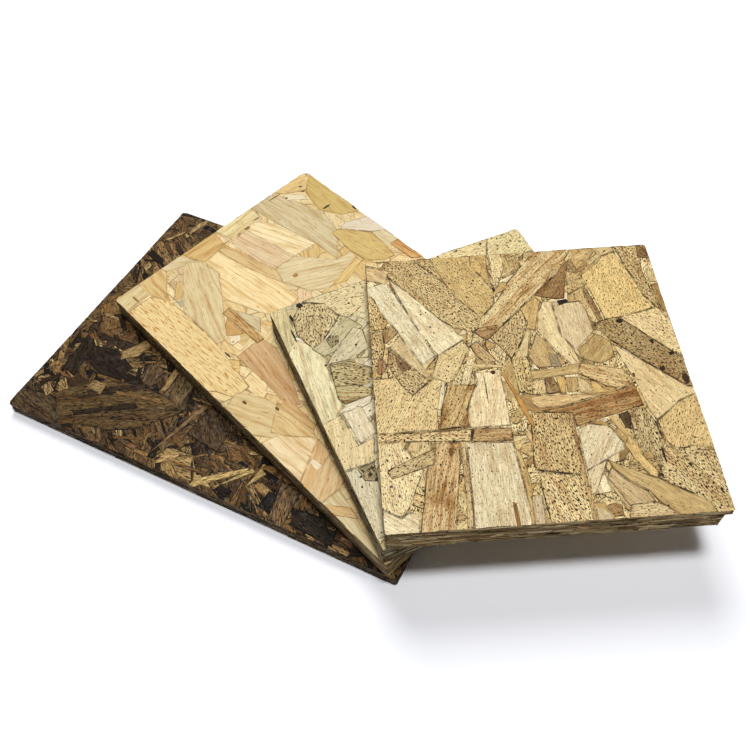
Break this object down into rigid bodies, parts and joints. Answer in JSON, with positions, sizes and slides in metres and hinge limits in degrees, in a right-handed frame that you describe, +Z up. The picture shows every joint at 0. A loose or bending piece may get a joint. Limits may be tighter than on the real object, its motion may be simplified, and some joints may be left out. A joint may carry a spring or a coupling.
{
  "type": "stack of osb panels",
  "caption": "Loose stack of sawn oriented strand board panels in dark, pine, pale and speckled grades, laid face to face and fanned about a shared corner.",
  "frame": {"origin": "middle of the lowest panel's underside, on the floor", "axes": "+Z up through the stack, +X along the top panel's near edge, +Y along its left edge away from the shared corner"},
  "size_m": [0.4684, 0.3675, 0.062],
  "materials": {
    "dark_strands": "pressed strands, dark brown, partly glossy with resin",
    "pine_strands": "pressed strands, light pine, matt",
    "pale_strands": "pressed strands, pale grey-cream with dark specks, matt",
    "speckled_strands": "pressed strands, tan and cream with dark specks, matt"
  },
  "bodies": {
    "root": {"dark_panel": "dark_strands", "pine_panel": "pine_strands", "pale_panel": "pale_strands", "speckled_panel": "speckled_strands"}
  },
  "joints": []
}
